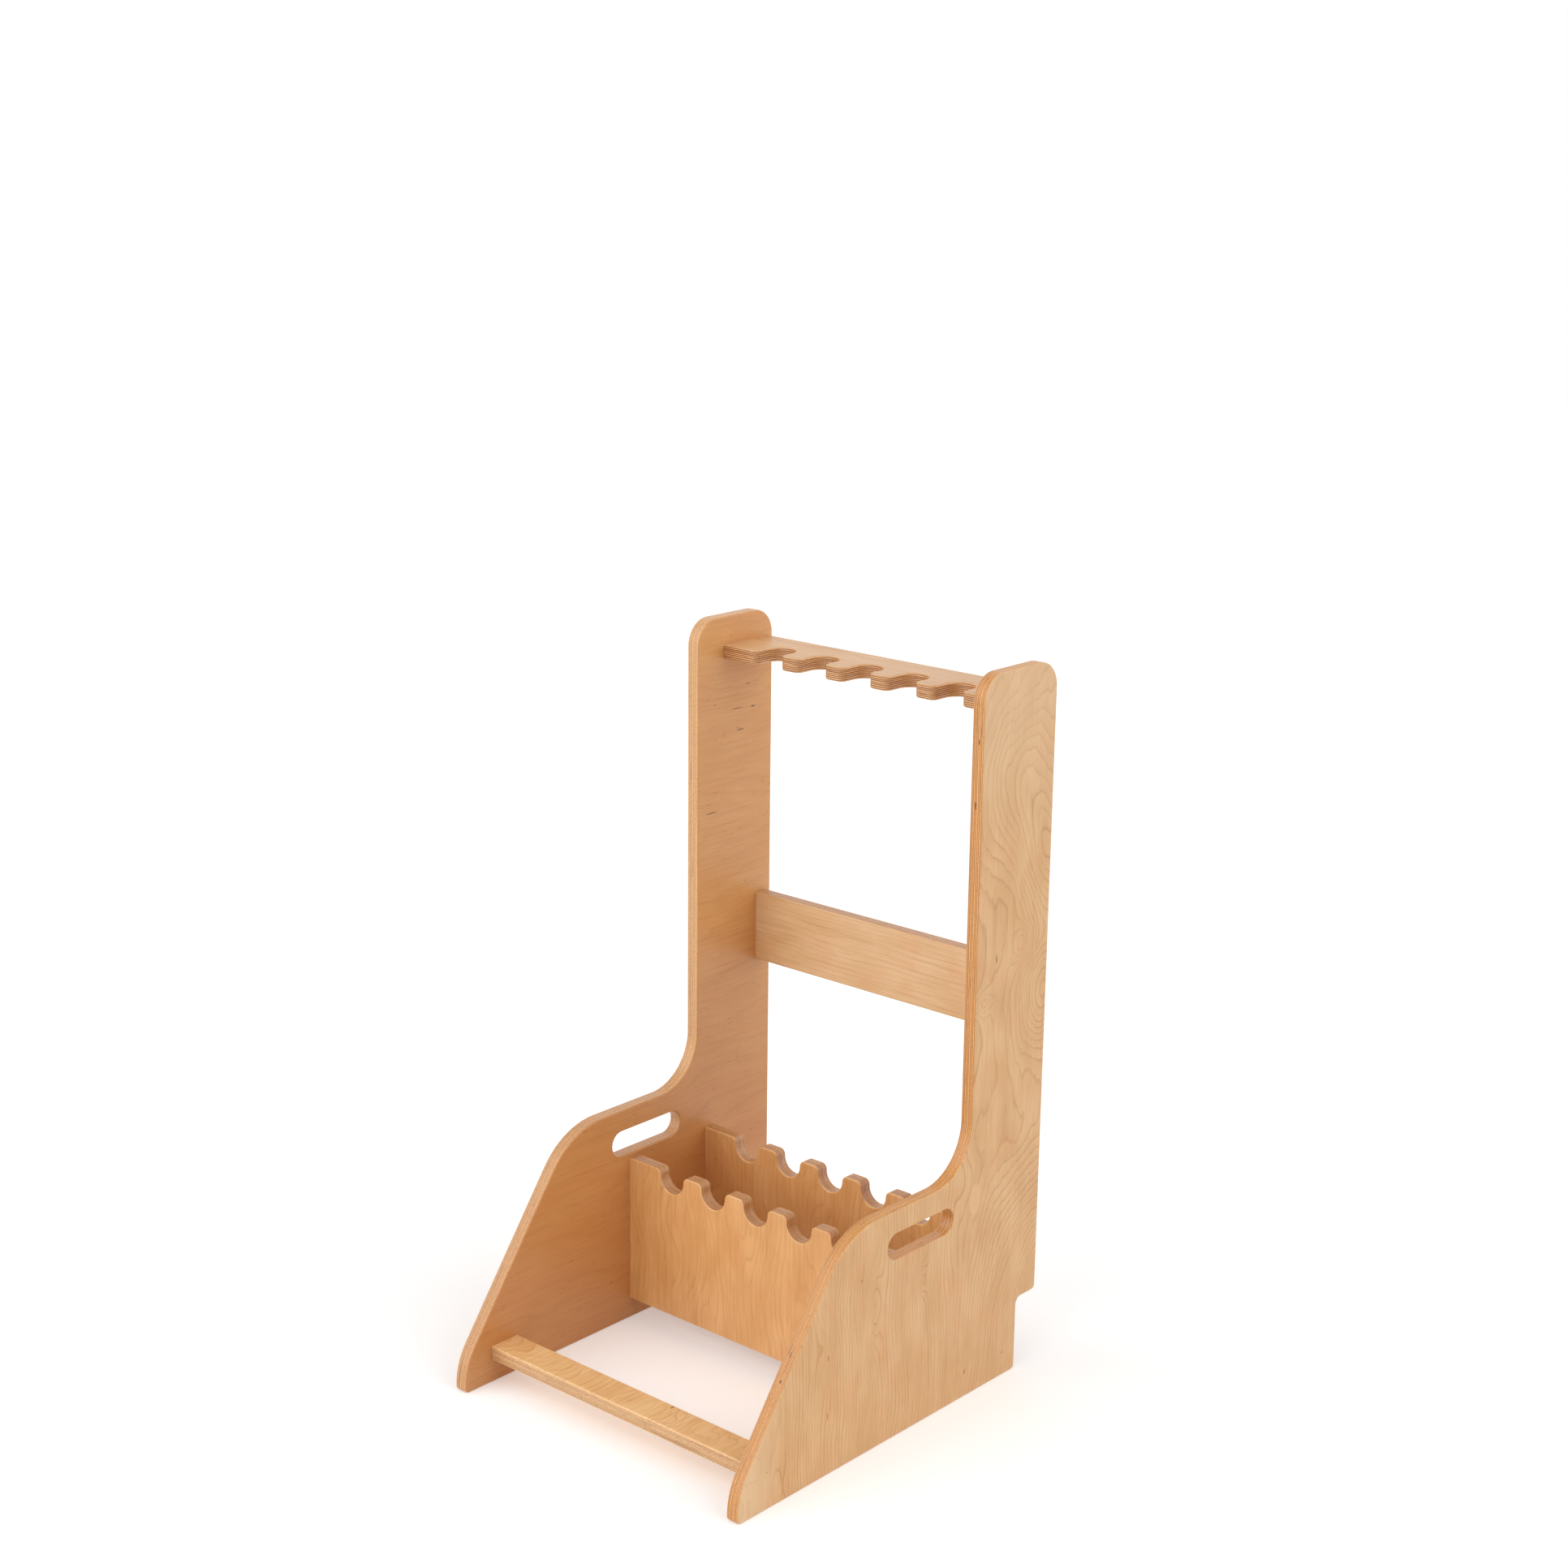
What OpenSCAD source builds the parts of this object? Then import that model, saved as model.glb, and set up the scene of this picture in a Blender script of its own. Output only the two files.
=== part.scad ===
/* [Overall] */
// Width over the outer faces of the two side panels
rack_w = 542; // [500:1:900]
// Depth of the side panels, from the toe to the rearmost edge
rack_d = 635; // [560:1:800]
// Height of the side panels
rack_h = 1042; // [800:1:1400]
// Thickness of the plywood that every board is cut from
board_t = 21; // [18:1:27]

/* [Side panels] */
// Depth of the tall upright at the back of a panel
upright_d = 161; // [150:1:180]
// Radius of the two top corners of the upright
crown_r = 38; // [5:1:60]
// Height of the level step in front of the upright
step_h = 336; // [315:1:400]
// Radius of the inside sweep where the upright meets the step
sweep_r = 78; // [20:1:100]
// Radius of the shoulder where the step turns down into the nose
shoulder_r = 121; // [20:1:140]
// Angle of the sloping nose above the floor
nose_angle = 54.4; // [48:0.1:60]
// Radius of the toe where the nose turns down to the floor
toe_r = 98; // [20:1:120]
// Height above the floor at which the toe starts to curve
toe_lift = 8.5; // [7:0.5:20]
// Radius of the two corners that stand on the floor
foot_r = 7; // [2:0.5:7]
// Depth of the notch above the rear foot, which clears a skirting board
notch_d = 44.5; // [25:0.5:70]
// Height of that notch
notch_h = 110; // [60:1:150]
// Radius of the inner corner of the notch
notch_r = 11; // [2:1:20]
// Radius of the outer corner above the notch
notch_lip_r = 7; // [2:1:20]

/* [Hand-holes] */
// Length of the hand-hole in each side panel
grip_l = 142; // [110:1:160]
// Height of the hand-hole
grip_h = 38; // [30:1:44]
// Height of the hand-hole's centre above the floor
grip_z = 284; // [265:1:290]
// Distance from the rearmost edge to the hand-hole's centre
grip_set = 269; // [250:1:290]

/* [Slots] */
// Number of stands that the rack holds
slot_n = 5; // [2:1:5]
// Width of every slot and notch
slot_w = 45; // [38:0.5:46]
// Width of the finger between two slots
finger_w = 37; // [32:0.5:44]

/* [Comb shelf] */
// Depth of the shelf from front to back
shelf_d = 100; // [80:1:130]
// Distance from the rearmost edge of the panels to the shelf
shelf_set = 6.5; // [0:0.5:20]
// Drop from the top of the panels to the top of the shelf
shelf_drop = 42; // [20:1:80]
// Depth of each slot, from the shelf's front edge to its round end
shelf_slot_d = 50; // [40:0.5:60]
// Radius of the fingers' front corners
shelf_finger_r = 11; // [4:0.5:13]

/* [Leg combs] */
// Height of each leg comb board
comb_h = 226; // [150:1:240]
// Height of the combs' lower edge above the floor
comb_z = 31; // [10:1:40]
// Depth of each notch below the combs' top edge
comb_slot_d = 32; // [32:0.5:60]
// Radius of the fingers' top corners
comb_finger_r = 9; // [4:0.5:9]
// Distance from the rearmost edge to the front comb's rear face
front_comb_set = 285; // [230:1:310]
// Distance from the rearmost edge to the rear comb's rear face
rear_comb_set = 122; // [100:1:160]

/* [Rails] */
// Height of the middle rail board
middle_rail_h = 107.5; // [60:0.5:160]
// Height of the middle rail's lower edge above the floor
middle_rail_z = 499.5; // [400:0.5:600]
// Distance from the rearmost edge to the middle rail's rear face
middle_rail_set = 11; // [0:1:30]
// Width of the foot rail from front to back
foot_rail_d = 50.5; // [36:0.5:80]
// Height of the foot rail's underside above the floor
foot_rail_z = 34.5; // [10:0.5:60]
// Distance from the panels' toe to the foot rail's front edge
foot_rail_set = 50.5; // [45:0.5:90]

/* [Dowels] */
// Diameter of the dowels
dowel_d = 8; // [6:1:10]
// Length of the dowels
dowel_l = 40; // [30:1:50]
// Length of each dowel that is sunk in the side panel
dowel_sink = 12.5; // [8:0.5:14]
// Width of the chamfer round each end of a dowel
dowel_chamfer = 1; // [0.5:0.25:2]
// Glue gap round a dowel in its hole
dowel_fit = 0.1; // [0.05:0.05:0.2]
// Depth of each hole beyond the end of its dowel
dowel_relief = 1; // [0.5:0.25:2]
// Distance from a board's edge to its nearest dowel
dowel_margin = 12; // [10:0.5:16]
// Number of dowels at each end of the comb shelf
shelf_dowel_n = 3; // [2:1:4]
// Number of dowels at each end of the middle rail
middle_rail_dowel_n = 3; // [2:1:4]
// Number of dowels at each end of the foot rail
foot_rail_dowel_n = 2; // [1:1:2]
// Number of dowels at each end of a leg comb
comb_dowel_n = 4; // [2:1:6]

/* [Hidden] */
$fn = 96;

// How far a cut runs past the face that it opens
overrun = 2;

// Colours of the plywood faces, the shaded inner boards and the dowels
panel_colour = [0.90, 0.76, 0.58];
cross_colour = [0.87, 0.69, 0.47];
dowel_colour = [0.83, 0.68, 0.50];

// Planes that the boards are placed from
front_y = -rack_d / 2;
rear_y = rack_d / 2;
bay_w = rack_w - 2 * board_t;
slot_pitch = slot_w + finger_w;

// Sharp corners of the panel outline where its slopes meet
toe_corner_z = toe_lift + toe_r * tan((90 - nose_angle) / 2);
nose_d = (step_h - toe_corner_z) / tan(nose_angle);

// Lowest corner of each cross board, in depth and height
shelf_y = rear_y - shelf_set - shelf_d;
shelf_z = rack_h - shelf_drop - board_t;
middle_rail_y = rear_y - middle_rail_set - board_t;
foot_rail_y = front_y + foot_rail_set;
front_comb_y = rear_y - front_comb_set - board_t;
rear_comb_y = rear_y - rear_comb_set - board_t;

// Direction of a vector, with a length of one
function unit(v) = v / norm(v);

// Twice the area of the triangle a, b, c, which is negative where the turn is to the right
function turn(a, b, c) = (b[0] - a[0]) * (c[1] - b[1]) - (b[1] - a[1]) * (c[0] - b[0]);

// Even places from one distance to another, or their middle if there is only one
function spread(count, low, high) =
    count < 2 ? [(low + high) / 2] : [for (i = [0 : count - 1]) low + (high - low) * i / (count - 1)];

// Places of the dowels at the end of a board that lies level, and of one that stands upright
function level_row(count, y, z, width) =
    [for (a = spread(count, y + dowel_margin, y + width - dowel_margin)) [a, z + board_t / 2]];
function upright_row(count, y, z, height) =
    [for (a = spread(count, z + dowel_margin, z + height - dowel_margin)) [y + board_t / 2, a]];

shelf_row = level_row(shelf_dowel_n, shelf_y, shelf_z, shelf_d);
foot_rail_row = level_row(foot_rail_dowel_n, foot_rail_y, foot_rail_z, foot_rail_d);
middle_rail_row = upright_row(middle_rail_dowel_n, middle_rail_y, middle_rail_z, middle_rail_h);
front_comb_row = upright_row(comb_dowel_n, front_comb_y, comb_z, comb_h);
rear_comb_row = upright_row(comb_dowel_n, rear_comb_y, comb_z, comb_h);

// Corners of the side panel, seen from the right, each with the radius that rounds it
panel_corners = [
    [[rear_y - notch_d, 0], foot_r],
    [[rear_y - notch_d, notch_h], notch_r],
    [[rear_y, notch_h], notch_lip_r],
    [[rear_y, rack_h], crown_r],
    [[rear_y - upright_d, rack_h], crown_r],
    [[rear_y - upright_d, step_h], sweep_r],
    [[front_y + nose_d, step_h], shoulder_r],
    [[front_y, toe_corner_z], toe_r],
    [[front_y, 0], foot_r]
];

// Round segment between the tangent points of one corner and the centre of its arc
module corner_sector(a, p, b, r) {
    to_a = unit(a - p);
    to_b = unit(b - p);
    half = acos(to_a * to_b) / 2;
    centre = p + unit(to_a + to_b) * r / sin(half);
    reach = r / tan(half);
    intersection() {
        translate(centre) circle(r = r);
        polygon([p, p + to_a * reach, centre, p + to_b * reach]);
    }
}

// Closed outline of straight edges, with a true arc at every corner
module rounded_outline(corners) {
    last = len(corners) - 1;
    points = [for (c = corners) c[0]];
    before = function(i) points[i == 0 ? last : i - 1];
    after = function(i) points[i == last ? 0 : i + 1];
    bends_out = function(i) turn(before(i), points[i], after(i)) > 0;
    reach = function(i) corners[i][1] / tan(acos(unit(before(i) - points[i]) * unit(after(i) - points[i])) / 2);
    chord = function(i) [
        points[i] + unit(before(i) - points[i]) * reach(i),
        points[i] + unit(after(i) - points[i]) * reach(i)
    ];
    difference() {
        union() {
            polygon([for (i = [0 : last]) each chord(i)]);
            for (i = [0 : last]) if (bends_out(i)) corner_sector(before(i), points[i], after(i), corners[i][1]);
        }
        for (i = [0 : last]) if (!bends_out(i)) corner_sector(before(i), points[i], after(i), corners[i][1]);
    }
}

// Slot that opens downwards at the line y = 0, with a round end and a mouth that flares round two corners
module slot_cut(depth, corner_r) {
    end_r = slot_w / 2;
    translate([0, depth - end_r]) circle(r = end_r);
    translate([-end_r, -overrun]) square([slot_w, depth - end_r + overrun]);
    difference() {
        translate([-end_r - corner_r, -overrun]) square([slot_w + 2 * corner_r, corner_r + overrun]);
        for (side = [-1, 1]) translate([side * (end_r + corner_r), corner_r]) circle(r = corner_r);
    }
}

// Board as wide as the bay, with the row of slots cut in its edge at y = 0
module comb_outline(depth, slot_depth, corner_r) {
    difference() {
        translate([-bay_w / 2, 0]) square([bay_w, depth]);
        for (x = spread(slot_n, -slot_pitch * (slot_n - 1) / 2, slot_pitch * (slot_n - 1) / 2))
            translate([x, 0]) slot_cut(slot_depth, corner_r);
    }
}

// Hand-hole with half-round ends
module grip_outline() {
    end_r = grip_h / 2;
    for (side = [-1, 1]) translate([side * (grip_l / 2 - end_r), 0]) circle(r = end_r);
    translate([end_r - grip_l / 2, -end_r]) square([grip_l - grip_h, grip_h]);
}

// Dowel along the row's x axis, with the shoulder line between panel and board at x = 0
module dowel() {
    r = dowel_d / 2;
    rotate([0, 90, 0]) translate([0, 0, dowel_sink - dowel_l]) rotate_extrude() polygon([
        [0, 0],
        [r - dowel_chamfer, 0],
        [r, dowel_chamfer],
        [r, dowel_l - dowel_chamfer],
        [r - dowel_chamfer, dowel_l],
        [0, dowel_l]
    ]);
}

// Blind hole for one dowel, in the panel and in the end of the board
module dowel_hole() {
    length = dowel_l + 2 * dowel_relief;
    rotate([0, 90, 0]) translate([0, 0, dowel_sink + dowel_relief - length])
        cylinder(h = length, r = dowel_d / 2 + dowel_fit);
}

// Copies of a shape at both ends of the bay, at every place of a row, pointing outwards
module at_both_ends(row) {
    for (side = [0, 1]) mirror([side, 0, 0]) at_right_end(row) children();
}

// Copies of a shape at the right end of the bay
module at_right_end(row) {
    for (p = row) translate([bay_w / 2, p[0], p[1]]) children();
}

module right_side_panel() {
    color(panel_colour) difference() {
        translate([bay_w / 2, 0, 0]) rotate([90, 0, 90]) linear_extrude(board_t) difference() {
            rounded_outline(panel_corners);
            translate([rear_y - grip_set, grip_z]) grip_outline();
        }
        for (row = [shelf_row, middle_rail_row, foot_rail_row, front_comb_row, rear_comb_row])
            at_right_end(row) dowel_hole();
    }
}

module left_side_panel() {
    mirror([1, 0, 0]) right_side_panel();
}

module comb_shelf() {
    color(cross_colour) difference() {
        translate([0, shelf_y, shelf_z]) linear_extrude(board_t)
            comb_outline(shelf_d, shelf_slot_d, shelf_finger_r);
        at_both_ends(shelf_row) dowel_hole();
    }
}

module middle_rail() {
    color(cross_colour) difference() {
        translate([-bay_w / 2, middle_rail_y, middle_rail_z]) cube([bay_w, board_t, middle_rail_h]);
        at_both_ends(middle_rail_row) dowel_hole();
    }
}

module foot_rail() {
    color(cross_colour) difference() {
        translate([-bay_w / 2, foot_rail_y, foot_rail_z]) cube([bay_w, foot_rail_d, board_t]);
        at_both_ends(foot_rail_row) dowel_hole();
    }
}

// Upright board under the legs, with its notches in the top edge
module leg_comb(y, row) {
    color(cross_colour) difference() {
        translate([0, y, comb_z + comb_h]) rotate([-90, 0, 0]) linear_extrude(board_t)
            comb_outline(comb_h, comb_slot_d, comb_finger_r);
        at_both_ends(row) dowel_hole();
    }
}

module front_leg_comb() {
    leg_comb(front_comb_y, front_comb_row);
}

module rear_leg_comb() {
    leg_comb(rear_comb_y, rear_comb_row);
}

module shelf_dowels() {
    color(dowel_colour) at_both_ends(shelf_row) dowel();
}

module middle_rail_dowels() {
    color(dowel_colour) at_both_ends(middle_rail_row) dowel();
}

module foot_rail_dowels() {
    color(dowel_colour) at_both_ends(foot_rail_row) dowel();
}

module front_comb_dowels() {
    color(dowel_colour) at_both_ends(front_comb_row) dowel();
}

module rear_comb_dowels() {
    color(dowel_colour) at_both_ends(rear_comb_row) dowel();
}

left_side_panel();
right_side_panel();
comb_shelf();
middle_rail();
foot_rail();
front_leg_comb();
rear_leg_comb();
shelf_dowels();
middle_rail_dowels();
foot_rail_dowels();
front_comb_dowels();
rear_comb_dowels();
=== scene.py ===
import math
from collections import namedtuple

import bmesh
import bpy
from mathutils import Color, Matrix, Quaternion, Vector


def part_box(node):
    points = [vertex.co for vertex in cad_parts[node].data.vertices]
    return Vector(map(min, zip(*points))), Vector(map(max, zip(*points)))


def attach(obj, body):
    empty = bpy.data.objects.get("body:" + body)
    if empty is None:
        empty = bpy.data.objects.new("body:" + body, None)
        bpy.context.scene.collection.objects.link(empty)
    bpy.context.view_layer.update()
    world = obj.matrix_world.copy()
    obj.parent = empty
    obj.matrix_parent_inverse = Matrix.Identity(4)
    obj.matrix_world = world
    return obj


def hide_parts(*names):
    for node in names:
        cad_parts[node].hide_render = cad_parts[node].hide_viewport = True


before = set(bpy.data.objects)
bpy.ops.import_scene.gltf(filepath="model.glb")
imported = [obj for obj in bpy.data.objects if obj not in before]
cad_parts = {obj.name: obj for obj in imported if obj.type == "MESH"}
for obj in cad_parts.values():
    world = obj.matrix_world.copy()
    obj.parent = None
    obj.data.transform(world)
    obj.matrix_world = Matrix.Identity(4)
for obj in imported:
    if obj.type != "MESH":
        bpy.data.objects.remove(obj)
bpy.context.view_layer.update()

# Sizes, in metres

MM = 0.001
BOARD_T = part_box("middle_rail")[1].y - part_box("middle_rail")[0].y
PLIES = 15
PLY_T = BOARD_T / PLIES
GLUE_LINE = 0.17 * MM
EASE = 2.4 * MM
EASE_STEPS = 5
END_EASE = 0.35 * MM
TINY = 0.01 * MM
WELD = 0.001 * MM
FLOOR_REACH = 12.0
AXES = "XYZ"

# Angles up to which faces count as one flat face, and from which an edge stays sharp, and how far the normal
# of a wall may lean out of the board's plane

FLAT_ANGLE = math.radians(0.5)
SHARP_ANGLE = math.radians(35)
WALL_LEAN = 0.01

# Photograph's camera

PHOTO_SIDE = 1932
FOCAL_PX = 3262.2
CAMERA_AT = Vector((2.3190, -2.5697, 1.7980))
CAMERA_YAW = math.radians(41.37)
CAMERA_PITCH = math.radians(14.90)
CAMERA_ROLL = math.radians(0.64)
SENSOR = 36.0
NEAREST = 0.05
FARTHEST = 50.0

# Light: each lamp's direction and level, the lamps' spread, and the levels of the surroundings and the floor

LAMPS = {
    "right": ((0.78, 0.3, 0.55), 0.38),
    "front_left": ((-0.3, -0.8, 0.52), 0.48),
}
LAMP_SPREAD = math.radians(70)
WORLD_LEVEL = 0.5
FLOOR_GLOW = 0.24
WHITE = (1, 1, 1, 1)


def srgb(*values):
    """Colour for a shader, from the red, green and blue of 0 to 255 that a picture shows."""
    shares = [value / 255 for value in values]
    return (*Color(shares).from_srgb_to_scene_linear(), 1.0)


# Colours of the wood and of the floor

RING_LINE = srgb(180, 118, 60)
BLUSH = srgb(222, 154, 98)
PATCH_TONE = srgb(224, 180, 126)
SPLIT = srgb(84, 44, 22)
# Tint of the painted shade that darkens the left panel towards the floor
LOW_PAINTED_SHADE = srgb(243, 234, 226)
# Paler tone of the right panel's face towards its top and at its toe
PALE_TONE = srgb(224, 190, 150)
GLUE = srgb(132, 78, 42)
VOID = srgb(60, 27, 11)
KNOT = srgb(162, 84, 22)
BEECH = srgb(214, 164, 116)
BEECH_FLECK = srgb(176, 118, 74)
FLOOR_DEEP = srgb(246, 246, 246)
FLOOR_PALE = srgb(248, 248, 248)

# Boards. What each of their values says:
# thick: axis across the board's thickness
# grain: axis of its face grain
# rings: growth rings in a metre across the grain
# close: the two places across the grain, in metres, between which that holds on a board that has a wide
# wide: growth rings in a metre on both sides of those, on the far side only from some way along the grain
# flame: how far the rings wander, in rings
# figure: size of the shapes that they make so, in mm across and along the grain
# contrast: how clearly the rings show
# eyes: nests of closed rings, each with its middle and half size in mm, across and along, and its rings
# checks: how dark the face's short splits are
# blush: how strong its reddish patches are
# seed: start of its random draws
# deep, pale: the two tones of the face
# side, end: tones of the plies that a cut meets along and across their grain

PLAIN = {"close": (0.0, 0.0), "eyes": (), "checks": 0.1, "blush": 0.2}
LEG_COMB = PLAIN | {
    "thick": "Y", "grain": "Z", "flame": 7, "figure": (80, 160), "contrast": 0.45,
    "deep": (224, 166, 102), "pale": (236, 182, 120), "side": (240, 186, 128), "end": (186, 128, 78),
}
BOARDS = {
    # The left panel's face tones are oranger and darker than the right's: partly its own veneer, partly
    # painted shade
    "left_side_panel": PLAIN | {
        "thick": "X", "grain": "Y", "rings": 40, "flame": 4, "figure": (70, 240), "contrast": 0.25,
        "checks": 0.8, "blush": 0.1, "seed": 3.0,
        "deep": (213, 153, 92), "pale": (218, 161, 101), "side": (250, 200, 138), "end": (222, 166, 110),
    },
    "right_side_panel": PLAIN | {
        "thick": "X", "grain": "Z", "rings": 160, "close": (-0.232, 0.12), "wide": 22,
        "flame": 5, "figure": (90, 150), "contrast": 1.0,
        "eyes": (
            (240, 885, 85, 100, 8), (314, 765, 60, 85, 8), (262, 650, 24, 26, -3.9), (308, 572, 52, 72, 8),
            (170, 583, 22, 15, 2.6), (-51, 209, 15, 62, 4.5), (53, 216, 10, 28, 3.5),
            (-149, 190, 15, 45, -2.6), (-243, 18, 16, 45, 2.3), (-296, 70, 26, 30, 1.9),
        ),
        "blush": 0.22, "seed": 16.0,
        "deep": (210, 162, 105), "pale": (222, 179, 126), "side": (252, 193, 113), "end": (204, 130, 64),
    },
    "comb_shelf": PLAIN | {
        "thick": "Z", "grain": "X", "rings": 70, "flame": 5, "figure": (80, 160), "contrast": 0.6,
        "seed": 23.0,
        "deep": (212, 162, 110), "pale": (224, 180, 130), "side": (252, 200, 134), "end": (156, 92, 50),
    },
    "middle_rail": PLAIN | {
        "thick": "Y", "grain": "X", "rings": 110, "flame": 3, "figure": (60, 200), "contrast": 0.4,
        "seed": 31.0,
        "deep": (222, 179, 129), "pale": (232, 193, 146), "side": (240, 192, 140), "end": (200, 146, 96),
    },
    "foot_rail": PLAIN | {
        "thick": "Z", "grain": "Y", "rings": 50, "flame": 8, "figure": (80, 90), "contrast": 0.5,
        "seed": 42.0,
        "deep": (242, 193, 132), "pale": (250, 208, 150), "side": (255, 207, 150), "end": (218, 170, 118),
    },
    "front_leg_comb": LEG_COMB | {"rings": 80, "seed": 57.0},
    "rear_leg_comb": LEG_COMB | {"rings": 70, "seed": 68.0},
}

# Growth rings: finer wanderings, each with its share of the flame and its size in mm across and along the
# grain, the places along the grain, in metres, between which the far side comes to the wide spacing, and
# where in each ring its dark line and its band rise and fall, with their shares

FINE_FIGURES = ((0.25, (24, 130)), (0.08, (9, 45)))
WIDENING = (0.0, 0.4)
LINE_RISE = (0.72, 0.9)
BAND_RISE = (0.1, 0.85)
RING_FALL = (0.93, 1.0)
LINE_SHARE = 0.66
BAND_SHARE = 0.2
FAINTEST_RING = 0.5

# Patterns made by noise. What each of their values says:
# size: in mm, across and along the grain on a face, along and through the plies on an edge, and along and
# across a dowel
# detail, rough: those of the noise, which varies about NOISE_MIDDLE
# span: values of the noise between which the pattern comes in
# share: what it comes to at either end of the span

NOISE_MIDDLE = 0.5
Pattern = namedtuple("Pattern", "size detail rough span share", defaults=((0.0, 1.0), (0.0, 1.0)))

CLOUD = Pattern((40, 110), 3.0, 0.6, (0.3, 0.7))
CLEARNESS = Pattern((45, 150), 1.0, 0.5, (0.35, 0.65), (0.6, 1.0))
BLUSH_PATCH = Pattern((50, 75), 2.0, 0.5, (0.5, 0.68))
STREAK = Pattern((2.3, 150), 2.0, 0.5, (0.45, 0.75), (0.0, 0.28))
FIBRE = Pattern((0.7, 26), 2.0, 0.6, (0.3, 0.75), (0.0, 0.14))
PORE = Pattern((0.4, 5), 1.0, 0.5, (0.68, 0.78))
SHORT_SPLIT = Pattern((1.1, 17), 1.0, 0.5, (0.69, 0.75))
SPLIT_GROUP = Pattern((34, 70), 1.0, 0.5, (0.48, 0.6))
PORE_SHARE = 0.12

SAW_STREAK = Pattern((26, 0.5), 2.0, 0.6, (0.42, 0.72), (0.0, 0.35))
SPECKLE = Pattern((1.4, 0.6), 1.0, 0.6, (0.48, 0.7))
SPECKLE_SHARE = 0.45
GRIT = Pattern((3.2, 0.9), 2.0, 0.6, (0.5, 0.7), (0.0, 0.5))
DARK_BAND = Pattern((90, 2.6), 1.0, 0.6, (0.62, 0.74), (0.0, 0.4))

BEECH_GRAIN = Pattern((18, 0.7), 2.0, 0.6, (0.35, 0.7), (0.0, 0.4))
BEECH_RAY = Pattern((2.2, 0.35), 1.0, 0.5, (0.62, 0.7))
BEECH_RAY_SHARE = 0.6
BEECH_RELIEF = -0.5

# Plies: the two noises that move them and how far, in plies, the random draws that give a ply a darker tone
# and how much darker, the least and most that a glue line shows, where it fades, in glue lines from its
# middle, and the spacing in mm, size and rarity of small voids

WARPS = ((Pattern((180, 3.5), 1.0, 0.6), 1.1), (Pattern((11, 3.5), 1.0, 0.6), 0.35))
HALF_PLY = 0.5
PLY_TONES = (0.4, 1.0)
PLY_TONE_SHARE = 0.5
SEAM_SHARES = (0.4, 1.0)
GLUE_FADE = (0.6, 1.8)
VOID_SPACING = (70, 2.2)
VOID_FADE = (0.08, 0.16)
VOID_RARITY = 0.72

# What a board's face adds to its seed, and the third number of each random draw

FACE_SEED_STEP = 7
RING_DRAW = 0.5
PLY_DRAW = 0.5
SEAM_DRAW = 2.5

# Fine relief: how far each pattern stands out, and how deep the whole is. Gloss of lacquer, dowels and floor

RELIEF = {"fibre": 0.6, "pore": -0.3, "streak": 0.5, "speckle": -0.7, "glue": -0.8, "void": -2.0}
RELIEF_STRENGTH = 0.35
RELIEF_DEPTH = 0.12 * MM
LACQUER_ROUGHNESS = (0.38, 0.52)
LACQUER_COAT = 0.3
COAT_ROUGHNESS = 0.3
DOWEL_RELIEF_STRENGTH = 0.3
DOWEL_RELIEF_DEPTH = 0.1 * MM
DOWEL_ROUGHNESS = (0.55, 0.7)
FLOOR_ROUGHNESS = 0.8

# Large tones: the heights, and at the toe the depths, in metres between which the right panel's paler tone
# fades in or out, and the heights between which the painted shade that darkens the left panel towards the
# floor fades out. The tilts between which a surface changes from cut edge to face

PALE_TONE_TOP = (0.7, 1.04)
PALE_TONE_TOP_SHARE = 0.4
PALE_TONE_TOE = (-0.3, -0.22)
PALE_TONE_TOE_SHARE = 0.5
LOW_PAINTED_SHADE_FADE = (0.2, 0.6)
FACE_TILT = (0.25, 0.5)

# Places of small marks: middle and half size of each in mm. OUTER is the right panel's outer face, and INNER
# the left panel's inner one. A mark fades over MARK_FADE, squared distances from its middle in half sizes

MARK_FADE = (0.35, 1.0)
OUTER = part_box("right_side_panel")[1].x / MM
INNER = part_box("left_side_panel")[1].x / MM
PATCHES = (
    ((OUTER, 167, 296), (6, 15, 29)),
)
PIN_KNOTS = (
    ((OUTER, -77, 259), (6, 1.6, 3.0)),
    ((OUTER, 243, 36), (6, 2.2, 1.5)),
    ((OUTER, 154, 39), (6, 1.8, 5.0)),
    ((OUTER, 199, 641), (6, 2.2, 8.0)),
    ((OUTER, -143, 171), (6, 1.5, 5.0)),
    ((OUTER, -143, 87), (6, 1.2, 7.0)),
    ((OUTER, -263, 54), (6, 1.2, 1.4)),
)
EDGE_VOIDS = (
    ((262.3, 156.5, 952), (0.9, 4, 5)),
    ((259.1, 156.5, 864), (1.1, 4, 7)),
    ((261.6, -227, 166), (1.3, 3, 3.4)),
    ((259.8, -206, 196), (0.7, 5, 6)),
)
PANEL_SPLITS = (
    ((INNER, 241, 900), (5, 15, 0.8)),
    ((INNER, 275, 898), (5, 5, 1.6)),
    ((INNER, 264, 934), (5, 7, 0.8)),
    ((INNER, 248, 867), (5, 9, 1.2)),
    ((INNER, 186, 750), (5, 14, 1.0)),
)
RAIL_FLECKS = (
    ((62.5, -222, 55.5), (1.5, 5, 2)),
)
RAIL_STREAKS = (
    ((106, -267, 39.7), (54, 3, 1.0)),
    ((190, -267, 51.6), (80, 3, 0.6)),
)

# Marks of each board: their places, how strongly they show, and their tone

MARKS = {
    "right_side_panel": ((PATCHES, 0.6, PATCH_TONE), (PIN_KNOTS, 0.75, KNOT), (EDGE_VOIDS, 1.0, VOID)),
    "left_side_panel": ((PANEL_SPLITS, 0.8, SPLIT),),
    "foot_rail": ((RAIL_FLECKS, 0.8, SPLIT), (RAIL_STREAKS, 0.5, GLUE)),
}


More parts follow.
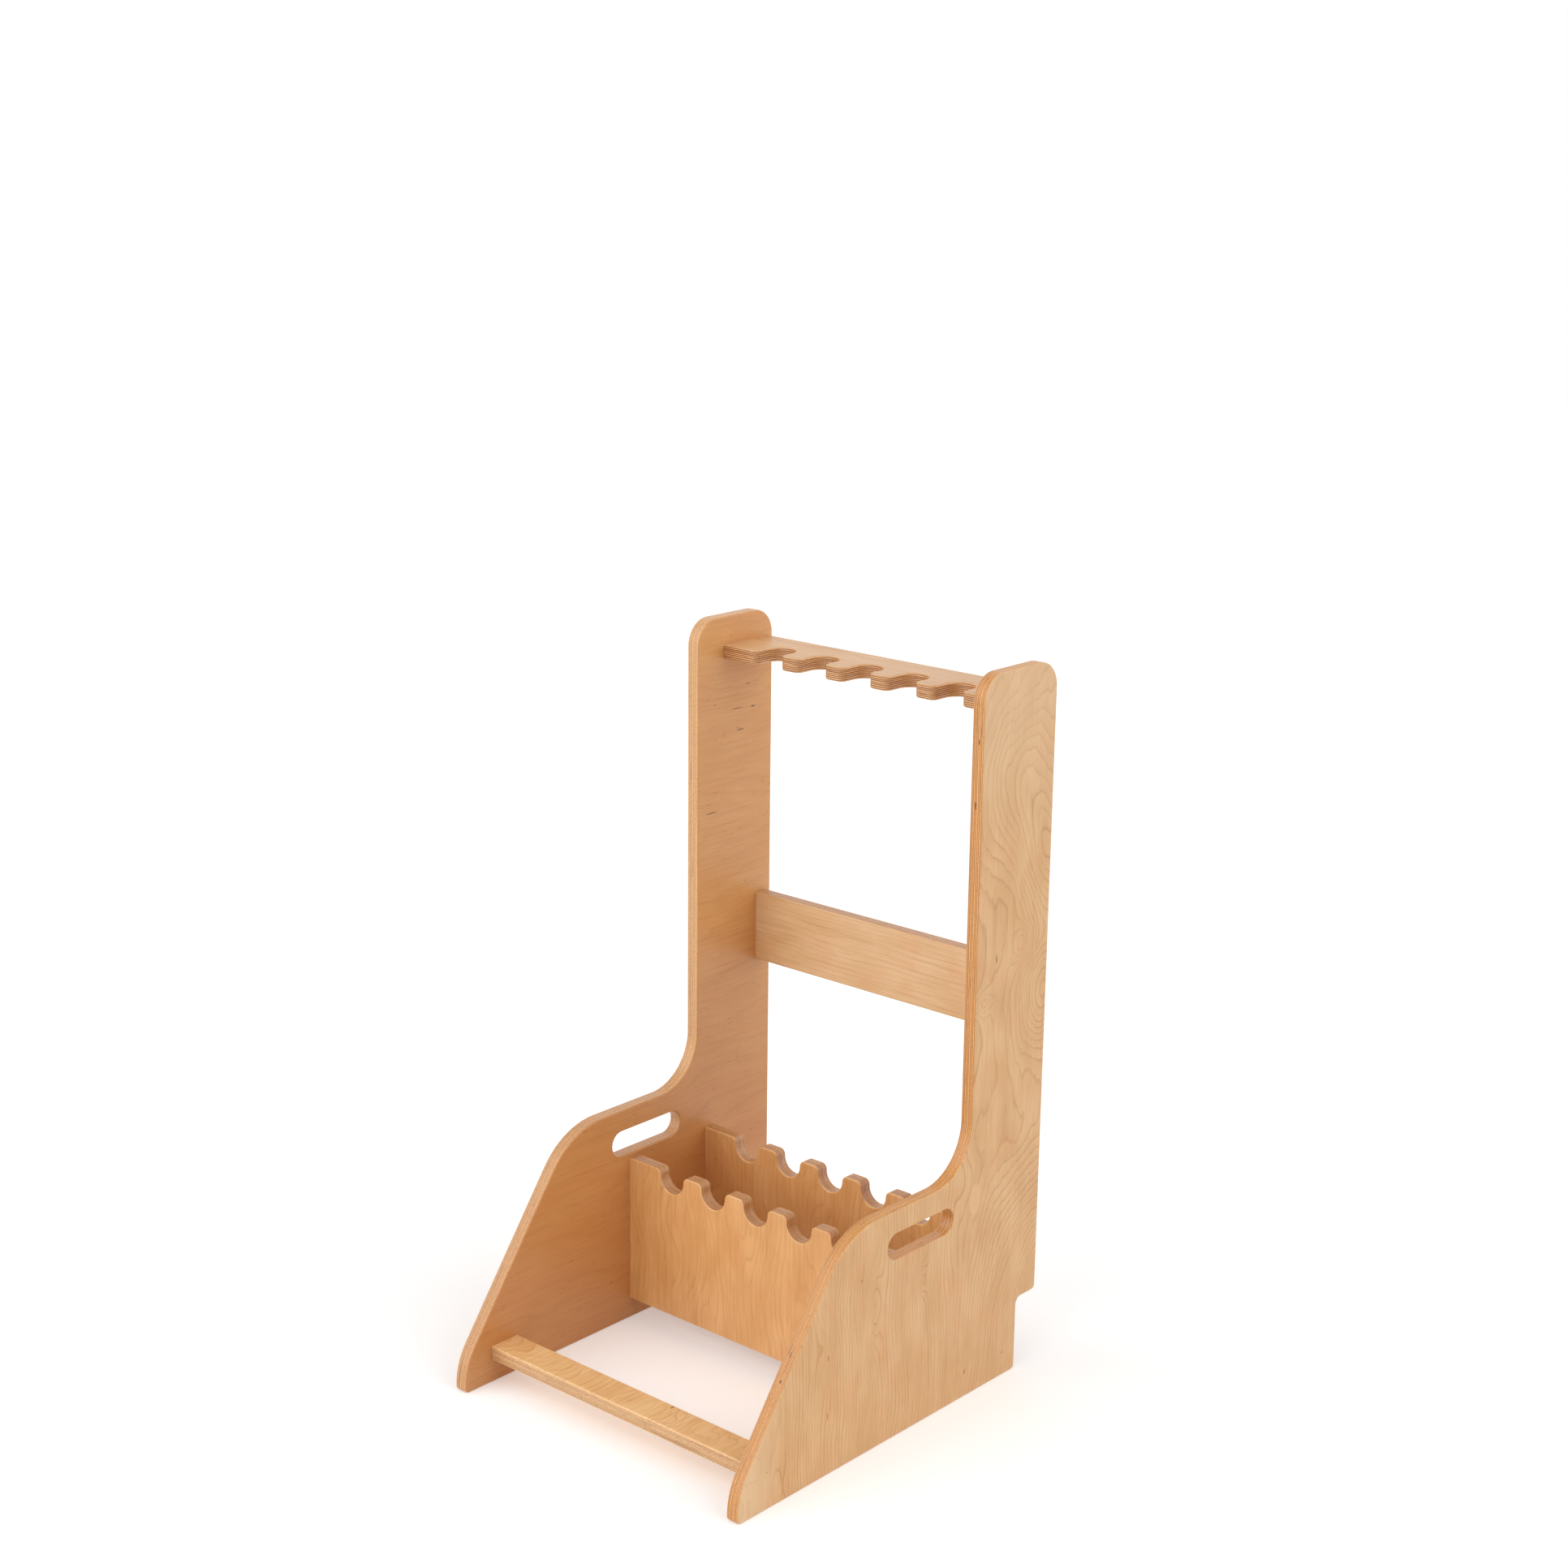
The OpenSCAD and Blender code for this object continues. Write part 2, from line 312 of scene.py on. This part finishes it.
class Graph:
    """A material's nodes, with a short method for each kind that this script uses."""

    def __init__(self, name):
        self.material = bpy.data.materials.new(name)
        self.material.use_nodes = True
        self.tree = self.material.node_tree
        self.tree.nodes.clear()
        place = self.tree.nodes.new("ShaderNodeTexCoord")
        self.place = place.outputs["Object"]
        self.axis = dict(zip(AXES, self.split(self.place)))
        self.facing = dict(zip(AXES, self.split(place.outputs["Normal"])))
        self.shader = self.tree.nodes.new("ShaderNodeBsdfPrincipled")
        output = self.tree.nodes.new("ShaderNodeOutputMaterial")
        self.put(output.inputs["Surface"], self.shader.outputs[0])

    def put(self, socket, value):
        """Gives a socket a value, or links it to the socket that the value comes from."""
        if isinstance(value, bpy.types.NodeSocket):
            self.tree.links.new(value, socket)
        elif value is not None:
            socket.default_value = value

    def split(self, vector):
        node = self.tree.nodes.new("ShaderNodeSeparateXYZ")
        self.put(node.inputs[0], vector)
        return node.outputs[:]

    def join(self, x, y, z):
        node = self.tree.nodes.new("ShaderNodeCombineXYZ")
        for socket, value in zip(node.inputs, (x, y, z)):
            self.put(socket, value)
        return node.outputs[0]

    def math(self, operation, *values):
        node = self.tree.nodes.new("ShaderNodeMath")
        node.operation = operation
        for socket, value in zip(node.inputs, values):
            self.put(socket, value)
        return node.outputs[0]

    def add(self, first, *others):
        for other in others:
            first = self.math("ADD", first, other)
        return first

    def times(self, first, *others):
        for other in others:
            first = self.math("MULTIPLY", first, other)
        return first

    def less(self, first, second):
        return self.math("SUBTRACT", first, second)

    def squared(self, value):
        return self.math("POWER", value, 2.0)

    def steps(self, distance, length):
        """A distance in metres, counted in steps whose length is in mm."""
        return self.times(distance, 1 / (length * MM))

    def spread(self, values, middle, half):
        """Squared distance from a middle to a point, counted in half sizes, with both of them in mm."""
        parts = []
        for value, at, reach in zip(values, middle, half):
            parts.append(self.squared(self.math("DIVIDE", self.less(value, at * MM), reach * MM)))
        return self.add(*parts)

    def ramp(self, value, low, high, at_low=0.0, at_high=1.0):
        """Smooth step of a value, from at_low at low to at_high at high."""
        node = self.tree.nodes.new("ShaderNodeMapRange")
        node.interpolation_type = "SMOOTHSTEP"
        for socket, number in zip(node.inputs, (value, low, high, at_low, at_high)):
            self.put(socket, number)
        return node.outputs[0]

    def shown(self, noise, pattern):
        """How strongly a pattern shows where its noise has some value."""
        return self.ramp(noise, *pattern.span, *pattern.share)

    def mix(self, share, first, second, blend="MIX"):
        node = self.tree.nodes.new("ShaderNodeMix")
        node.data_type = "RGBA"
        node.blend_type = blend
        for name, value in (("Factor_Float", share), ("A_Color", first), ("B_Color", second)):
            self.put(next(s for s in node.inputs if s.identifier == name), value)
        return next(s for s in node.outputs if s.identifier == "Result_Color")

    def layered(self, colour, *layers):
        """A colour with others laid over it in turn, each by its share."""
        for share, tone in layers:
            colour = self.mix(share, colour, tone)
        return colour

    def noise(self, vector, detail=2.0, rough=0.5):
        node = self.tree.nodes.new("ShaderNodeTexNoise")
        self.put(node.inputs["Vector"], vector)
        node.inputs["Scale"].default_value = 1.0
        node.inputs["Detail"].default_value = detail
        node.inputs["Roughness"].default_value = rough
        return node.outputs["Fac"]

    def cells(self, vector):
        """Distance to the nearest of scattered points, and a random number for that point."""
        node = self.tree.nodes.new("ShaderNodeTexVoronoi")
        self.put(node.inputs["Vector"], vector)
        node.inputs["Scale"].default_value = 1.0
        return node.outputs["Distance"], self.split(node.outputs["Color"])[0]

    def random(self, *numbers):
        """Random number, the same wherever the three given ones are the same."""
        node = self.tree.nodes.new("ShaderNodeTexWhiteNoise")
        node.noise_dimensions = "3D"
        self.put(node.inputs["Vector"], self.join(*numbers))
        return node.outputs["Value"]

    def bump(self, height, strength, distance):
        node = self.tree.nodes.new("ShaderNodeBump")
        node.inputs["Strength"].default_value = strength
        node.inputs["Distance"].default_value = distance
        self.put(node.inputs["Height"], height)
        return node.outputs["Normal"]

    def finish(self, colour, roughness, normal, coat=0.0):
        self.put(self.shader.inputs["Base Color"], colour)
        self.put(self.shader.inputs["Roughness"], roughness)
        self.put(self.shader.inputs["Normal"], normal)
        self.shader.inputs["Coat Weight"].default_value = coat
        self.shader.inputs["Coat Roughness"].default_value = COAT_ROUGHNESS
        return self.material


def spots(graph, places):
    """Mask of soft ellipsoids, which is one inside a mark and zero away from them all."""
    total = None
    for middle, half in places:
        mask = graph.ramp(graph.spread(graph.axis.values(), middle, half), *MARK_FADE, 1.0, 0.0)
        total = mask if total is None else graph.math("MAXIMUM", total, mask)
    return total


def ring_count(graph, along, across, look):
    """Number of growth rings from some first one to a point of the face, which rises and falls smoothly."""
    def wander(amount, size):
        place = graph.join(graph.steps(across, size[0]), graph.steps(along, size[1]), look["seed"])
        return graph.times(graph.less(graph.noise(place, detail=1.0, rough=0.3), NOISE_MIDDLE), amount)

    def nest(across_mm, along_mm, half_across, half_along, rings):
        spread = graph.spread((across, along), (across_mm, along_mm), (half_across, half_along))
        return graph.times(graph.math("EXPONENT", graph.times(spread, -1.0)), rings)

    first, last = look["close"]
    wide = look.get("wide", look["rings"])
    below = graph.math("MINIMUM", graph.less(across, first), 0.0)
    above = graph.math("MAXIMUM", graph.less(across, last), 0.0)
    between = graph.math("MAXIMUM", graph.math("MINIMUM", across, last), first)
    return graph.add(
        graph.times(below, wide),
        graph.times(between, look["rings"]),
        graph.times(above, graph.ramp(along, *WIDENING, look["rings"], wide)),
        wander(look["flame"], look["figure"]),
        *[wander(share * look["flame"], size) for share, size in FINE_FIGURES],
        *[nest(*eye) for eye in look["eyes"]],
    )


def veneer(graph, along, across, look):
    """Colour and height of a rotary-cut birch face, whose rings show as wavy contour lines."""
    def field(pattern):
        flat = [graph.steps(value, size) for value, size in zip((across, along), pattern.size)]
        return graph.noise(graph.join(*flat, look["seed"] + FACE_SEED_STEP), pattern.detail, pattern.rough)

    def mask(pattern):
        return graph.shown(field(pattern), pattern)

    rings = ring_count(graph, along, across, look)
    turn = graph.math("FRACT", rings)
    fall = graph.ramp(turn, *RING_FALL, 1.0, 0.0)
    line = graph.times(graph.ramp(turn, *LINE_RISE), fall)
    band = graph.times(graph.ramp(turn, *BAND_RISE), fall)
    bold = graph.random(graph.math("FLOOR", rings), look["seed"], RING_DRAW)
    strength = graph.times(
        graph.ramp(bold, 0.0, 1.0, FAINTEST_RING, 1.0), mask(CLEARNESS), look["contrast"]
    )
    fibre = field(FIBRE)
    pore = mask(PORE)
    split = graph.times(mask(SHORT_SPLIT), mask(SPLIT_GROUP))
    colour = graph.layered(
        graph.mix(mask(CLOUD), srgb(*look["deep"]), srgb(*look["pale"])),
        (graph.times(mask(BLUSH_PATCH), look["blush"]), BLUSH),
        (graph.times(band, strength, BAND_SHARE), RING_LINE),
        (graph.times(line, strength, LINE_SHARE), RING_LINE),
        (mask(STREAK), RING_LINE),
        (graph.shown(fibre, FIBRE), RING_LINE),
        (graph.times(pore, PORE_SHARE), KNOT),
        (graph.times(split, look["checks"]), SPLIT),
    )
    height = graph.add(graph.times(fibre, RELIEF["fibre"]), graph.times(pore, RELIEF["pore"]))
    return colour, height


def plies(graph, depth, along_axis, across_axis, look):
    """Colour and height of an edge: fifteen plies, in turn along and across it, with glue between them."""
    def point(plane_mm, depth_mm):
        flat = [graph.steps(graph.axis[axis], plane_mm) for axis in (along_axis, across_axis)]
        return graph.join(*flat, graph.steps(depth, depth_mm))

    def field(pattern):
        return graph.noise(point(*pattern.size), pattern.detail, pattern.rough)

    layer = graph.add(
        graph.math("DIVIDE", depth, PLY_T),
        *[graph.times(graph.less(field(warp), NOISE_MIDDLE), amount) for warp, amount in WARPS],
    )
    index = graph.math("FLOOR", layer)
    odd = graph.math("MODULO", index, 2.0)
    end = graph.add(
        graph.times(graph.less(1.0, odd), graph.squared(graph.facing[along_axis])),
        graph.times(odd, graph.squared(graph.facing[across_axis])),
    )
    seam = graph.add(layer, HALF_PLY)
    gap = graph.math("ABSOLUTE", graph.less(graph.math("FRACT", seam), HALF_PLY))
    glue = graph.ramp(gap, *[share * GLUE_LINE / PLY_T for share in GLUE_FADE], 1.0, 0.0)
    ply_draw = graph.random(index, look["seed"], PLY_DRAW)
    seam_draw = graph.random(graph.math("FLOOR", seam), look["seed"], SEAM_DRAW)
    near, chance = graph.cells(point(*VOID_SPACING))
    void = graph.times(
        graph.ramp(near, *VOID_FADE, 1.0, 0.0), graph.math("GREATER_THAN", chance, VOID_RARITY)
    )
    streak = field(SAW_STREAK)
    speckle = field(SPECKLE)
    side_colour, end_colour = srgb(*look["side"]), srgb(*look["end"])
    colour = graph.layered(
        graph.mix(end, side_colour, end_colour),
        (graph.ramp(ply_draw, *PLY_TONES, 0.0, PLY_TONE_SHARE), end_colour),
        (graph.shown(streak, SAW_STREAK), end_colour),
        (graph.times(end, graph.shown(speckle, SPECKLE), SPECKLE_SHARE), GLUE),
        (graph.shown(field(DARK_BAND), DARK_BAND), GLUE),
        (graph.shown(field(GRIT), GRIT), GLUE),
        (graph.times(glue, graph.ramp(seam_draw, 0.0, 1.0, *SEAM_SHARES)), GLUE),
        (void, VOID),
    )
    height = graph.add(
        graph.times(streak, RELIEF["streak"]),
        graph.times(end, speckle, RELIEF["speckle"]),
        graph.times(glue, RELIEF["glue"]),
        graph.times(void, RELIEF["void"]),
    )
    return colour, height


def tones_and_painted_shade(graph, name, face, colour):
    """Side panel's colour: the right one paler at its top and toe, the left one with painted shade low down.
    """
    if name == "right_side_panel":
        top = graph.ramp(graph.axis["Z"], *PALE_TONE_TOP, 0.0, PALE_TONE_TOP_SHARE)
        toe = graph.ramp(graph.axis["Y"], *PALE_TONE_TOE, PALE_TONE_TOE_SHARE, 0.0)
        colour = graph.mix(graph.times(face, graph.math("MAXIMUM", top, toe)), colour, PALE_TONE)
    # Painted shade: the whole left panel, faces and edges, darker towards the floor
    if name == "left_side_panel":
        low = graph.ramp(graph.axis["Z"], *LOW_PAINTED_SHADE_FADE, 1.0, 0.0)
        colour = graph.mix(low, colour, LOW_PAINTED_SHADE, "MULTIPLY")
    return colour


def birch_plywood(name, look):
    """Clear-lacquered birch plywood: veneer on the two faces and plies on every cut edge."""
    graph = Graph(name + "_birch_plywood")
    thick, along = look["thick"], look["grain"]
    across = next(a for a in AXES if a not in (thick, along))
    depth = graph.less(graph.axis[thick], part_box(name)[0][AXES.index(thick)])
    face = graph.ramp(graph.math("ABSOLUTE", graph.facing[thick]), *FACE_TILT)
    face_colour, face_height = veneer(graph, graph.axis[along], graph.axis[across], look)
    edge_colour, edge_height = plies(graph, depth, along, across, look)
    colour = tones_and_painted_shade(graph, name, face, graph.mix(face, edge_colour, face_colour))
    for places, share, tone in MARKS.get(name, ()):
        colour = graph.mix(graph.times(spots(graph, places), share), colour, tone)
    height = graph.add(
        graph.times(graph.less(1.0, face), edge_height),
        graph.times(face, face_height),
    )
    roughness = graph.ramp(graph.noise(graph.place), 0.0, 1.0, *LACQUER_ROUGHNESS)
    normal = graph.bump(height, RELIEF_STRENGTH, RELIEF_DEPTH)
    return graph.finish(colour, roughness, normal, LACQUER_COAT)


def beech_dowel():
    """Plain turned beech, with its short dark flecks along the dowel."""
    graph = Graph("beech_dowel_turned")

    def field(pattern):
        along, across = pattern.size
        sizes = (along, across, across)
        place = graph.join(*[graph.steps(value, size) for value, size in zip(graph.axis.values(), sizes)])
        return graph.noise(place, pattern.detail, pattern.rough)

    grain = field(BEECH_GRAIN)
    fleck = graph.shown(field(BEECH_RAY), BEECH_RAY)
    colour = graph.layered(
        BEECH,
        (graph.shown(grain, BEECH_GRAIN), BEECH_FLECK),
        (graph.times(fleck, BEECH_RAY_SHARE), BEECH_FLECK),
    )
    roughness = graph.ramp(grain, 0.0, 1.0, *DOWEL_ROUGHNESS)
    height = graph.add(grain, graph.times(fleck, BEECH_RELIEF))
    normal = graph.bump(height, DOWEL_RELIEF_STRENGTH, DOWEL_RELIEF_DEPTH)
    return graph.finish(colour, roughness, normal)


def round_over(solid, rims, size, steps):
    """Rounds some edges of a solid over by a size, in so many steps."""
    bmesh.ops.bevel(
        solid, geom=rims, offset=size, offset_type="OFFSET", segments=steps,
        profile=0.5, affect="EDGES", clamp_overlap=False,
    )


def eased_mesh(name, thick):
    """A board's solid with every long edge rounded over, and its ends left square but for a hair."""
    axis = AXES.index(thick)
    low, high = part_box(name)
    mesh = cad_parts[name].data.copy()
    mesh.name = name + "_eased"
    solid = bmesh.new()
    solid.from_mesh(mesh)
    bmesh.ops.remove_doubles(solid, verts=solid.verts[:], dist=WELD)
    bmesh.ops.dissolve_limit(solid, angle_limit=FLAT_ANGLE, verts=solid.verts[:], edges=solid.edges[:])

    def is_outer(face, number):
        """True for a face that lies in one of the two planes that close the board's box along an axis."""
        return any(
            all(abs(v.co[number] - limit[number]) < TINY for v in face.verts) for limit in (low, high)
        )

    def is_wall(face):
        """True for a face that runs square through the board's thickness."""
        depths = [v.co[axis] for v in face.verts]
        return abs(face.normal[axis]) < WALL_LEAN and max(depths) - min(depths) > BOARD_T - TINY

    def is_end(face):
        """True for a face of a cross board that meets a side panel."""
        width = AXES.index("X")
        return axis != width and is_outer(face, width)

    caps = {face for face in solid.faces if is_outer(face, axis)}
    walls = {face for face in solid.faces if is_wall(face) and not is_end(face)}
    rims = [
        edge for edge in solid.edges
        if len(caps.intersection(edge.link_faces)) == 1 and walls.intersection(edge.link_faces)
    ]
    round_over(solid, rims, EASE, EASE_STEPS)
    ends = {face for face in solid.faces if is_end(face)}
    end_rims = [edge for edge in solid.edges if len(ends.intersection(edge.link_faces)) == 1]
    round_over(solid, end_rims, END_EASE, 1)
    for edge in solid.edges:
        edge.smooth = edge.is_manifold and edge.calc_face_angle() < SHARP_ANGLE
    for face in solid.faces:
        face.smooth = True
    solid.to_mesh(mesh)
    solid.free()
    return mesh


def make_board(name, look):
    """Lacquered board with eased edges, which takes the place of the solid of its name."""
    mesh = eased_mesh(name, look["thick"])
    mesh.materials.clear()
    mesh.materials.append(birch_plywood(name, look))
    board = bpy.data.objects.new(name + "_board", mesh)
    bpy.context.scene.collection.objects.link(board)
    shading = board.modifiers.new("even_shading", "WEIGHTED_NORMAL")
    shading.keep_sharp = True
    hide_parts(name)
    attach(board, "root")


def dress_dowels():
    """Gives the dowels, which stay hidden in their holes, their beech."""
    material = beech_dowel()
    for name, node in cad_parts.items():
        if name.endswith("_dowels"):
            node.data.materials.clear()
            node.data.materials.append(material)
            node.data.shade_smooth()


def seen_as_background(tree):
    """One for every ray that shows the surroundings, straight, in gloss or through glass, else zero."""
    rays = tree.nodes.new("ShaderNodeLightPath")
    total = rays.outputs["Is Camera Ray"]
    for kind in ("Is Glossy Ray", "Is Transmission Ray"):
        node = tree.nodes.new("ShaderNodeMath")
        node.operation = "MAXIMUM"
        tree.links.new(total, node.inputs[0])
        tree.links.new(rays.outputs[kind], node.inputs[1])
        total = node.outputs[0]
    return total


def make_floor():
    """Plain white floor, which takes the rack's shadow."""
    reach = FLOOR_REACH
    mesh = bpy.data.meshes.new("floor")
    corners = [(-reach, -reach, 0), (reach, -reach, 0), (reach, reach, 0), (-reach, reach, 0)]
    mesh.from_pydata(corners, [], [(0, 1, 2, 3)])
    graph = Graph("floor_paint")
    shade = graph.mix(graph.ramp(graph.noise(graph.place), 0.0, 1.0), FLOOR_DEEP, FLOOR_PALE)
    mesh.materials.append(graph.finish(shade, FLOOR_ROUGHNESS, None))
    graph.shader.inputs["Emission Color"].default_value = WHITE
    glow = graph.times(seen_as_background(graph.tree), FLOOR_GLOW)
    graph.put(graph.shader.inputs["Emission Strength"], glow)
    floor = bpy.data.objects.new("floor", mesh)
    bpy.context.scene.collection.objects.link(floor)


def make_camera():
    """The camera that took the photograph, worked out from the rack's own edges."""
    data = bpy.data.cameras.new("camera")
    data.sensor_width = SENSOR
    data.lens = FOCAL_PX / PHOTO_SIDE * SENSOR
    data.clip_start = NEAREST
    data.clip_end = FARTHEST
    camera = bpy.data.objects.new("camera", data)
    camera.location = CAMERA_AT
    level = math.cos(CAMERA_PITCH)
    forward = Vector((
        -math.sin(CAMERA_YAW) * level,
        math.cos(CAMERA_YAW) * level,
        -math.sin(CAMERA_PITCH),
    ))
    aim = forward.to_track_quat("-Z", "Y") @ Quaternion((0.0, 0.0, 1.0), CAMERA_ROLL)
    camera.rotation_euler = aim.to_euler()
    bpy.context.scene.collection.objects.link(camera)
    bpy.context.scene.camera = camera


def make_lamp(name, towards, level):
    """Large soft lamp far away, whose level is what a face turned to it gets."""
    data = bpy.data.lights.new(name, "SUN")
    data.angle = LAMP_SPREAD
    data.energy = level * math.pi
    lamp = bpy.data.objects.new(name, data)
    lamp.rotation_euler = Vector(towards).to_track_quat("Z", "Y").to_euler()
    bpy.context.scene.collection.objects.link(lamp)


def make_world():
    """Even white surroundings, which the camera sees as plain white."""
    world = bpy.data.worlds.new("studio")
    bpy.context.scene.world = world
    world.use_nodes = True
    tree = world.node_tree
    tree.nodes.clear()
    strength = tree.nodes.new("ShaderNodeMapRange")
    strength.inputs["To Min"].default_value = WORLD_LEVEL
    strength.inputs["To Max"].default_value = 1.0
    tree.links.new(seen_as_background(tree), strength.inputs["Value"])
    background = tree.nodes.new("ShaderNodeBackground")
    background.inputs["Color"].default_value = WHITE
    tree.links.new(strength.outputs[0], background.inputs["Strength"])
    output = tree.nodes.new("ShaderNodeOutputWorld")
    tree.links.new(background.outputs[0], output.inputs["Surface"])


make_camera()
make_world()
for lamp_name, (lamp_towards, lamp_level) in LAMPS.items():
    make_lamp(lamp_name, lamp_towards, lamp_level)
make_floor()
for board_name, board_look in BOARDS.items():
    make_board(board_name, board_look)
dress_dowels()

bpy.context.scene.view_settings.view_transform = "Standard"
